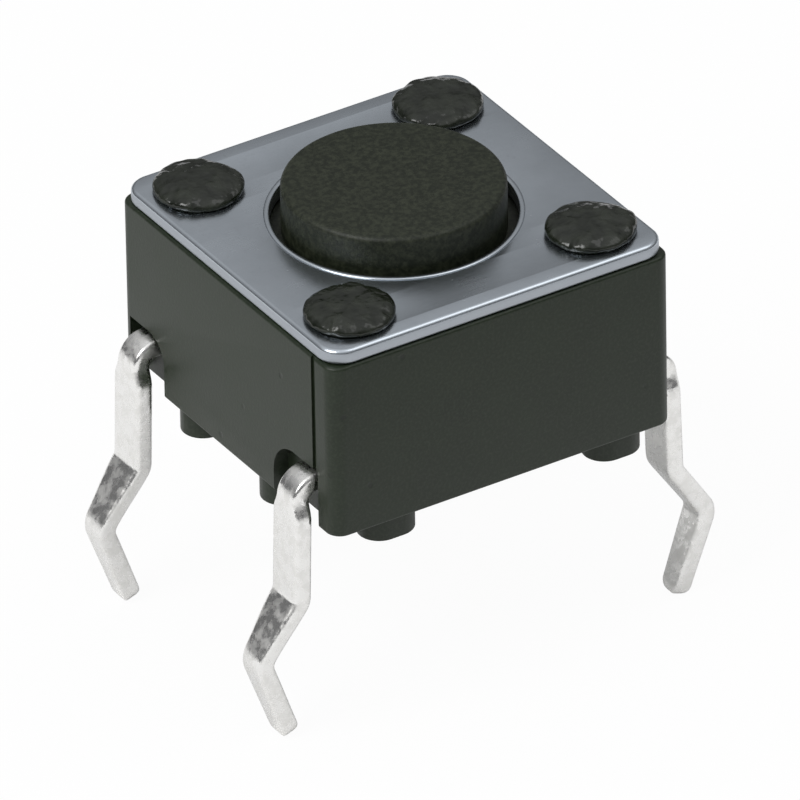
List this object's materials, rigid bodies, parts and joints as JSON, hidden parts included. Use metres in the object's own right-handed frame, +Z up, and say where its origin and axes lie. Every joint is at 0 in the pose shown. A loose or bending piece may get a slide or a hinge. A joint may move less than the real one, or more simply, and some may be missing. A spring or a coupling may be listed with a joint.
{
  "type": "tactile push button switch",
  "caption": "Through-hole tactile switch: square moulded body, metal cover held by melted posts, round button on a snap disc, kinked leads.",
  "frame": {"origin": "centre of the four-lead footprint in the plane of the board's top face, on which the feet stand", "axes": "+Z up through the button, leads come out at -X and +X, the terminal with the centre contact is at -Y"},
  "size_m": [0.0082, 0.006, 0.0074],
  "materials": {
    "body_plastic": "satin moulded, dark grey",
    "cover_steel": "satin sheet",
    "button_plastic": "finely textured, near black",
    "disc_steel": "bright",
    "terminal_metal": "silver plated, bright"
  },
  "bodies": {
    "housing": {"base": "body_plastic", "cover_plate": "cover_steel", "front_terminal": "terminal_metal", "back_terminal": "terminal_metal", "contact_dome": "disc_steel"},
    "button": {"plunger": "button_plastic"}
  },
  "joints": [
    {"name": "plunger_press", "type": "slide", "parent": "housing", "child": "button", "axis": [0, 0, -1], "range_m": [0, 0.00025], "stiffness_N_per_m": 6400, "deforming": ["contact_dome"]}
  ]
}
